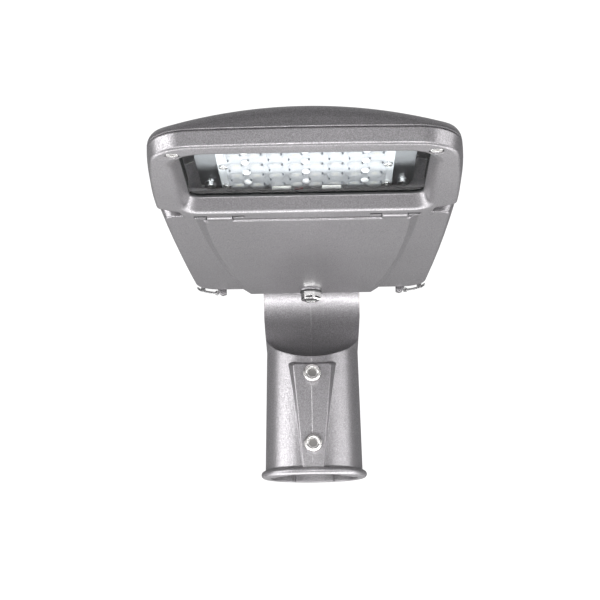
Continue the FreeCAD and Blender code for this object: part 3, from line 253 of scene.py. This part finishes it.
# Darker steel for the inside of the hex sockets: painted shade in the recess.
SOCKET_SHADE = metal("socket_painted_shade", (0.20, 0.195, 0.19), 0.3)
CHROME = metal("bright_steel", (0.64, 0.64, 0.63), 0.17, 300)
CAP = metal("cap_steel", (0.50, 0.49, 0.48), 0.22)
CLIP = metal("clip_steel", (0.50, 0.50, 0.50), 0.36, 300)
# Near-white for the pegs between the lens domes: a painted highlight standing in for glints.
GLINT_PEG_WHITE = plain("painted_glint_white", (0.92, 0.92, 0.93), 0.3, 700, 0.04, 0.03)

BY_SLOT = {"black_steel": DARK, "coated_casting": COAT, "stainless": STEEL, "zinc_steel": ZINC, "window_glass": GLASS, "seal_rubber": RUBBER,
           "plate_aluminium": SHEET, "board_white": BOARD, "chip_yellow": CHIP, "lens_clear": LENS,
           "connector_white": NYLON, "lead_red": RED, "gear_white": GEARW, "gear_grey": GEARG, "friction_pad": FIBRE}
for sp in frame["record"]["subparts"]:
    o = nodes[sp["node"]]
    o.data.materials.clear()
    o.data.materials.append(CLIP if sp["node"].startswith("latch_") else BY_SLOT[sp["material_slot"]])


# ---- mesh pieces ------------------------------------------------------------
class Shell:
    """Collects vertices, in the head's millimetres, and faces of one piece."""

    def __init__(self):
        self.v, self.f = [], []

    def add(self, verts, faces):
        n = len(self.v)
        self.v += [tuple(p) for p in verts]
        self.f += [tuple(n + i for i in f) for f in faces]

    def turned(self, cx, cy, profile, seg=24, sx=1.0, sy=1.0, turn=0.0):
        """Solid of revolution about a vertical line: profile is (r, z) from axis to axis."""
        verts, faces = [], []
        rings = []
        for r, z in profile:
            if r < 1e-6:
                rings.append([len(verts)])
                verts.append((cx, cy, z))
            else:
                ring = []
                for k in range(seg):
                    a = 2 * math.pi * (k + turn) / seg
                    ring.append(len(verts))
                    verts.append((cx + sx * r * math.cos(a), cy + sy * r * math.sin(a), z))
                rings.append(ring)
        for p, n in zip(rings, rings[1:]):
            for k in range(seg):
                j = (k + 1) % seg
                if len(p) == 1:
                    faces.append((p[0], n[k], n[j]))
                elif len(n) == 1:
                    faces.append((p[j], p[k], n[0]))
                else:
                    faces.append((p[k], n[k], n[j], p[j]))
        self.add(verts, faces)

    def prism(self, outline, levels):
        """Closed prism: levels is (z, inset) pairs, the outline convex and anticlockwise."""
        n = len(outline)
        cx = sum(p[0] for p in outline) / n
        cy = sum(p[1] for p in outline) / n
        verts, faces = [], []
        for z, inset in levels:
            for k in range(n):
                (x0, y0), (x1, y1), (x2, y2) = outline[k - 1], outline[k], outline[(k + 1) % n]
                a, b = Vector((x1 - x0, y1 - y0)), Vector((x2 - x1, y2 - y1))
                a.normalize()
                b.normalize()
                na, nb = Vector((-a.y, a.x)), Vector((-b.y, b.x))
                m = na + nb
                m *= inset / max(0.2, m.dot(na))
                verts.append((x1 + m.x, y1 + m.y, z))
        for i in range(len(levels) - 1):
            for k in range(n):
                j = (k + 1) % n
                faces.append((i * n + k, i * n + j, (i + 1) * n + j, (i + 1) * n + k))
        faces.append(tuple(range(n))[::-1])
        faces.append(tuple((len(levels) - 1) * n + k for k in range(n)))
        self.add(verts, faces)

    def make(self, name, body, mats, replaces=(), smooth=35.0, place=head, pick=None):
        me = bpy.data.meshes.new(name)
        me.from_pydata([place(*p) for p in self.v], [], self.f)
        b = bmesh.new()
        b.from_mesh(me)
        bmesh.ops.remove_doubles(b, verts=b.verts[:], dist=1e-6)
        bmesh.ops.recalc_face_normals(b, faces=b.faces[:])
        for e in b.edges:
            e.smooth = len(e.link_faces) == 2 and e.calc_face_angle(0.0) < math.radians(smooth)
        for f in b.faces:
            f.smooth = True
            if pick:
                f.material_index = pick(f)
        b.to_mesh(me)
        b.free()
        for m in mats:
            me.materials.append(m)
        o = bpy.data.objects.new(name, me)
        bpy.context.scene.collection.objects.link(o)
        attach(o, body)
        if replaces:
            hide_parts(*replaces)
        return o


def level(p):
    """A point in metres back in the head's own level millimetres."""
    return PIVOT + TURN.inverted() @ (Vector(p) / MM - PIVOT)


def round_rect(x0, y0, x1, y1, r, n=5):
    pts = []
    for cx, cy, a0 in ((x1 - r, y1 - r, 0), (x0 + r, y1 - r, 90), (x0 + r, y0 + r, 180), (x1 - r, y0 + r, 270)):
        for k in range(n + 1):
            a = math.radians(a0 + 90 * k / n)
            pts.append((cx + r * math.cos(a), cy + r * math.sin(a)))
    return pts


# Moulded lens array: a plate with a free-form dome over each chip. Small pegs sit between the domes, and their
# near-white colour is a painted highlight for the glints seen there.
COLS = [-42 + 12 * i for i in range(8)]
ROWS = [-295.5 + 17 * j for j in range(5)]
lens = Shell()
lens.prism(round_rect(-48.4, -301.9, 48.4, -222.2, 3.0), [(153.1, 0.3), (152.9, 0.0), (152.4, 0.0), (152.2, 0.3)])
for x in COLS:
    for y in ROWS:
        lens.turned(x, y, [(0, 152.8), (5.35, 152.8), (5.35, 152.05), (5.2, 151.9), (4.85, 151.85), (4.65, 151.65), (4.4, 151.35),
                           (3.9, 151.05), (3.2, 150.8), (2.4, 150.65), (1.6, 150.6), (0.9, 150.66), (0.4, 150.75), (0, 150.8)],
                    28, 1.0, 0.94)
lens.make("lens_array", "head", [LENS], ["led_lenses"], 30.0)
pegs = Shell()
for x in (-36, 0, 36):
    for y in (-287.0, -270.0, -253.0, -236.0):
        pegs.turned(x, y, [(0, 152.6), (2.5, 152.6), (2.5, 151.7), (2.3, 151.2), (1.8, 150.8), (1.0, 150.6), (0, 150.5)], 20)
pegs.make("glint_pegs", "head", [GLINT_PEG_WHITE], (), 40.0)

# Hexagonal pressure equaliser: slotted windows in its flats.
vent = Shell()
VX, VY, VR, VT = 0.0, -46.8, 7.55, -10.5
TOP, LOW, BASE = 131.0, 125.95, 125.2
cor = [(VX + VR * math.cos(math.radians(VT + 60 * k)), VY + VR * math.sin(math.radians(VT + 60 * k))) for k in range(6)]
for k in range(6):
    c0, c1 = Vector(cor[k]), Vector(cor[(k + 1) % 6])
    u = (c1 - c0).normalized()
    inn = Vector((-u.y, u.x))
    w = (c1 - c0).length
    outer = [(0.0, LOW), (w, LOW), (w, TOP), (0.0, TOP)]
    slot = [(p[0] + w / 2, p[1] + 127.0) for p in round_rect(-2.5, -0.6, 2.5, 0.6, 0.55, 4)]
    tris = tessellate_polygon([[Vector((a, b, 0)) for a, b in outer], [Vector((a, b, 0)) for a, b in slot]])
    flat = outer + slot
    at3 = lambda a, z, d=0.0: (c0.x + u.x * a + inn.x * d, c0.y + u.y * a + inn.y * d, z)
    n = len(slot)
    verts = [at3(a, z) for a, z in flat] + [at3(a, z, 1.5) for a, z in slot]
    faces = list(tris)
    faces += [(4 + i, 4 + (i + 1) % n, 4 + n + (i + 1) % n, 4 + n + i) for i in range(n)]
    faces.append(tuple(4 + n + i for i in range(n)))
    vent.add(verts, faces)
low = [(VX + (VR - 0.8) * math.cos(math.radians(VT + 60 * k)), VY + (VR - 0.8) * math.sin(math.radians(VT + 60 * k)))
       for k in range(6)]
ring = [(VX + 4.3 * math.cos(math.radians(VT + 15 * k)), VY + 4.3 * math.sin(math.radians(VT + 15 * k))) for k in range(24)]
verts = [(x, y, LOW) for x, y in cor] + [(x, y, BASE) for x, y in low]
faces = [(k, (k + 1) % 6, 6 + (k + 1) % 6, 6 + k) for k in range(6)]
vent.add(verts, faces)
tris = tessellate_polygon([[Vector((x, y, 0)) for x, y in low], [Vector((x, y, 0)) for x, y in ring]])
verts = [(x, y, BASE) for x, y in low + ring] + [(x, y, BASE + 0.7) for x, y in ring]
faces = list(tris) + [(6 + i, 6 + (i + 1) % 24, 30 + (i + 1) % 24, 30 + i) for i in range(24)] + [tuple(30 + i for i in range(24))]
vent.add(verts, faces)


def painted_shade_face(p):
    """Faces inside the windows and on the floor of the recess, which take the dark steel as painted shade."""
    d = math.hypot(p.x - VX, p.y - VY)
    return (126.0 < p.z < 128.0 and d < VR * math.cos(math.radians(30)) - 0.5) or (p.z > BASE + 0.2 and p.z < BASE + 0.9 and d < 4.2)


neck = [(VX + 5.9 * math.cos(math.radians(VT + 15 * k)), VY + 5.9 * math.sin(math.radians(VT + 15 * k))) for k in range(24)]
tris = tessellate_polygon([[Vector((x, y, 0)) for x, y in cor], [Vector((x, y, 0)) for x, y in neck]])
verts = [(x, y, TOP) for x, y in cor + neck] + [(x, y, 139.9) for x, y in neck]
faces = list(tris) + [(6 + i, 6 + (i + 1) % 24, 30 + (i + 1) % 24, 30 + i) for i in range(24)] + [tuple(30 + i for i in range(24))]
vent.add(verts, faces)
# The dark steel on the window insides and the recess floor is painted shade.
vent.make("vent_body", "door", [CHROME, DARK], ["vent_plug"], 25.0,
          pick=lambda f: 1 if painted_shade_face(level(f.calc_center_median())) else 0)


# Moulding marks beside each lens: the ends of the ejector pins.
marks = Shell()
for x in COLS:
    for y in ROWS:
        for dx, dy in ((-3.9, 4.6), (3.9, -4.6)):
            marks.turned(x + dx, y + dy, [(0, 152.6), (0.5, 152.6), (0.5, 151.0), (0.35, 150.9), (0, 150.9)], 8)
marks.make("ejector_marks", "head", [MARK], (), 40.0)

# Two-pole board connectors, with a latch tongue and wire entries.
conn = Shell()
for sx in (-1, 1):
    cx = 15.5 * sx
    conn.prism(round_rect(cx - 6.0, -221.9, cx + 6.0, -214.6, 0.8, 2), [(153.3, 0.0), (149.7, 0.0), (149.1, 0.5)])
    conn.prism(round_rect(cx - 6.0, -231.6, cx + 6.0, -221.4, 0.8, 2), [(150.4, 0.0), (148.1, 0.0), (147.75, 0.4)])
    conn.prism(round_rect(cx - 1.6, -232.2, cx + 1.6, -231.2, 0.3, 2), [(150.1, 0.0), (148.4, 0.0)])
    for dx in (-3.0, 3.0):
        conn.prism(round_rect(cx + dx - 1.5, -220.6, cx + dx + 1.5, -217.6, 0.4, 2), [(149.5, 0.0), (148.85, 0.0), (148.7, 0.15)])
conn.make("board_plugs", "head", [NYLON], ["board_connectors"], 30.0)

# Small red sensor bead at the rear edge of the board.
bead = Shell()
bead.prism(round_rect(-8.0, -223.6, -2.4, -221.9, 0.7, 3), [(153.0, 0.3), (152.7, 0.0), (151.0, 0.0), (150.6, 0.4)])
bead.make("sensor_bead", "head", [RED], (), 40.0)

# Parting line of the bracket casting: a fine ridge that follows its front.
cast = nodes["pole_bracket"].data
tree = BVHTree.FromPolygons([v.co for v in cast.vertices], [tuple(p.vertices) for p in cast.polygons])
runs, run = [], []
z = 8.6
while z < 152.0:
    free = not (14.8 < z < 29.8 or 66.6 < z < 81.6)
    hit = tree.ray_cast(Vector((-0.0005, -0.09, z * MM)), Vector((0, 1, 0))) if free else (None,) * 4
    ok = hit[0] is not None and hit[0].y < 0.012 and abs(hit[1].x) < 0.4
    if ok and run and (hit[0] - run[-1][0]).length > 0.0045:
        runs.append(run)
        run = []
    if ok:
        n = Vector((0, hit[1].y, hit[1].z)).normalized()
        run.append((hit[0], n if n.y < 0 else -n))
    elif run:
        runs.append(run)
        run = []
    z += 0.6
runs.append(run)
ridge = Shell()
for run in runs:
    if len(run) < 4:
        continue
    verts, faces = [], []
    for i, (p, n) in enumerate(run):
        t = (run[min(i + 1, len(run) - 1)][0] - run[max(i - 1, 0)][0]).normalized()
        n = (n - t * n.dot(t)).normalized()
        k = 0.35 if i in (0, len(run) - 1) else 1.0
        for dx, dn in ((-0.00032, -0.00006), (0.0, 0.00015 * k), (0.00032, -0.00006)):
            q = p + n * dn
            verts.append((q.x + dx, q.y, q.z))
    for i in range(len(run) - 1):
        for a, b in ((0, 1), (1, 2), (2, 0)):
            faces.append((3 * i + a, 3 * i + b, 3 * i + 3 + b, 3 * i + 3 + a))
    faces.append((0, 2, 1))
    e = 3 * (len(run) - 1)
    faces.append((e, e + 1, e + 2))
    ridge.add(verts, faces)
ridge.make("parting_ridge", "bracket", [RIDGE], (), 60.0, place=lambda *p: Vector(p))

# Socket cap screws that clamp the pole.
lo_c, hi_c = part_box("clamp_screws")
face_y, tip_y = lo_c[1] / MM, hi_c[1] / MM
centres = [lo_c[2] / MM + 6.5, hi_c[2] / MM - 6.5]
caps = Shell()
N = 36
for cz in centres:
    ring = lambda r, y: [(r * math.cos(2 * math.pi * k / N), y, cz + r * math.sin(2 * math.pi * k / N)) for k in range(N)]
    loops = [(3.85, tip_y), (3.85, face_y + 7.3), (6.45, face_y + 7.3), (6.5, face_y + 0.75), (6.2, face_y + 0.22), (5.75, face_y + 0.03),
             (4.5, face_y + 0.03), (3.95, face_y + 0.5)]
    verts, faces = [], []
    for r, y in loops:
        verts += ring(r, y)
    for i in range(len(loops) - 1):
        for k in range(N):
            j = (k + 1) % N
            faces.append((i * N + k, i * N + j, (i + 1) * N + j, (i + 1) * N + k))
    faces.append(tuple(range(N))[::-1])
    base = (len(loops) - 1) * N
    hexa = [(3.42 * math.cos(math.radians(60 * k + 12)), 3.42 * math.sin(math.radians(60 * k + 12))) for k in range(6)]
    inner = [Vector((verts[base + k][0], verts[base + k][2] - cz, 0)) for k in range(N)]
    tris = tessellate_polygon([inner, [Vector((x, z, 0)) for x, z in hexa]])
    hx = len(verts)
    verts += [(x, face_y + 0.5, cz + z) for x, z in hexa] + [(x, face_y + 4.4, cz + z) for x, z in hexa]
    faces += [tuple(base + i if i < N else hx + i - N for i in t) for t in tris]
    faces += [(hx + k, hx + (k + 1) % 6, hx + 6 + (k + 1) % 6, hx + 6 + k) for k in range(6)]
    faces.append(tuple(hx + 6 + k for k in range(6)))
    caps.add(verts, faces)


def in_socket(c):
    x, y, z = c.x / MM, c.y / MM, c.z / MM
    return y > face_y + 0.6 and y < face_y + 4.6 and min(math.hypot(x, z - q) for q in centres) < 3.3


# Faces inside the hex socket take the darker steel as painted shade.
caps.make("clamp_caps", "bracket", [CAP, SOCKET_SHADE], ["clamp_screws"], 28.0, place=lambda x, y, z: Vector((x, y, z)) * MM,
          pick=lambda f: 1 if in_socket(f.calc_center_median()) else 0)



# Black pads in the slots beside the hinge, and a thin black washer in each gap between a knuckle and the frame: painted
# shade that keeps the slots and gaps dark.
slot_shades = Shell()
for sx in (-1, 1):
    for x0, x1, y1 in ((63.2, 70.4, -223.6), (39.2, 46.2, -223.8)):
        a, b = sorted((x0 * sx, x1 * sx))
        slot_shades.prism(round_rect(a, -226.45, b, y1, 0.3, 1), [(133.3, 0.2), (133.5, 0.0), (135.2, 0.0)])
slot_shades.make("slot_shade_pads", "head", [SHADE_AND_RUBBER_BLACK], (), 30.0)
shade_washers = Shell()
for x0 in (46.25, 62.56):
    for sx in (-1, 1):
        N, verts, faces = 24, [], []
        for r, x in ((1.6, x0), (3.1, x0), (3.1, x0 + 0.55), (1.6, x0 + 0.55)):
            verts += [(x * sx, -221.2 + r * math.cos(2 * math.pi * k / N), 136.6 + r * math.sin(2 * math.pi * k / N)) for k in range(N)]
        for i in range(4):
            for k in range(N):
                j = (k + 1) % N
                m = (i + 1) % 4
                faces.append((i * N + k, i * N + j, m * N + j, m * N + k))
        shade_washers.add(verts, faces)
shade_washers.make("gap_shade_washers", "head", [SHADE_AND_RUBBER_BLACK], (), 30.0)

# Black strips: the long strip over the foot behind the glass is painted shade for the dark band there, and the two side
# strips are the black gasket edge beside the glass.
lip_and_shade = Shell()
lip_and_shade.prism(round_rect(-72.0, -237.0, 72.0, -236.45, 0.2, 1), [(141.6, 0.0), (146.0, 0.0), (146.15, 0.15)])
for sx in (-1, 1):
    a, b = sorted((72.6 * sx, 73.1 * sx))
    lip_and_shade.prism(round_rect(a, -318.0, b, -242.0, 0.1, 1), [(145.4, 0.0), (152.6, 0.0)])
lip_and_shade.make("gasket_lip_and_shade", "head", [SHADE_AND_RUBBER_BLACK], (), 30.0)
# ---- stage ----------------------------------------------------------------
def stage_mesh(name, verts, faces, mat):
    me = bpy.data.meshes.new(name)
    me.from_pydata(verts, [], faces)
    o = bpy.data.objects.new(name, me)
    bpy.context.scene.collection.objects.link(o)
    me.materials.append(mat)
    return o


def floor_material():
    m = Mat("floor_paper")
    n = m.noise(60, 3.0)
    return m.set(Base_Color=m.ramp(n, [(0.3, (0.80, 0.80, 0.80)), (0.7, (0.84, 0.84, 0.84))]), Roughness=0.9,
                 Normal=m.bump(n, 0.05, 0.001))


def backdrop_material():
    m = Mat("backdrop_light")
    m.b.inputs["Base Color"].default_value = (0, 0, 0, 1)
    m.b.inputs["Roughness"].default_value = 1.0
    n = m.noise(1.5, 1.0)
    m.link(m.ramp(n, [(0.0, (0.98, 0.98, 0.98)), (1.0, (1, 1, 1))]), m.b.inputs["Emission Color"])
    m.b.inputs["Emission Strength"].default_value = 1.1
    return m.m


N = 96
disc = [(1.22 * math.cos(2 * math.pi * k / N), -0.1 + 1.22 * math.sin(2 * math.pi * k / N), -0.24) for k in range(N)]
floor = stage_mesh("floor", disc, [tuple(range(N))], floor_material())
bm = bmesh.new()
bmesh.ops.create_uvsphere(bm, u_segments=48, v_segments=24, radius=9.0)
bmesh.ops.reverse_faces(bm, faces=bm.faces[:])
me = bpy.data.meshes.new("backdrop")
bm.to_mesh(me)
bm.free()
backdrop = bpy.data.objects.new("backdrop", me)
bpy.context.scene.collection.objects.link(backdrop)
me.materials.append(backdrop_material())
backdrop.visible_diffuse = backdrop.visible_glossy = backdrop.visible_transmission = backdrop.visible_shadow = False
backdrop.visible_volume_scatter = False


# ---- lights ------------------------------------------------------------------
def area(name, loc, target, w, h, watts, spread=180.0):
    li = bpy.data.lights.new(name, "AREA")
    li.shape, li.size, li.size_y, li.energy, li.spread = "RECTANGLE", w, h, watts, math.radians(spread)
    o = bpy.data.objects.new(name, li)
    o.location = loc
    o.rotation_euler = (Vector(target) - Vector(loc)).to_track_quat("-Z", "Y").to_euler()
    bpy.context.scene.collection.objects.link(o)
    return o


AIM = (0.0, -0.15, 0.12)
under = area("under", (0.0, 0.03, -0.232), (0.0, 0.03, 1.0), 2.4, 0.30, 13)
under.visible_camera = False
area("key_left", (-1.45, -0.60, 0.16), AIM, 1.5, 0.7, 9.5, 115.0).visible_camera = False
area("key_right", (1.45, -0.60, 0.16), AIM, 1.5, 0.7, 5.5, 115.0).visible_camera = False
area("low_front", (0.0, -0.80, -0.20), (0.0, -0.26, 0.14), 1.5, 0.24, 8, 125.0).visible_camera = False
area("front", (0.0, -2.2, 0.10), AIM, 2.2, 0.8, 2.5, 120.0).visible_camera = False
area("top", (0.0, 0.6, 1.8), AIM, 2.4, 2.4, 6)

world = bpy.data.worlds.new("studio")
bpy.context.scene.world = world
world.use_nodes = True
world.node_tree.nodes["Background"].inputs["Color"].default_value = (0.5, 0.5, 0.51, 1)
world.node_tree.nodes["Background"].inputs["Strength"].default_value = 0.42
bpy.context.scene.view_settings.view_transform = "Standard"
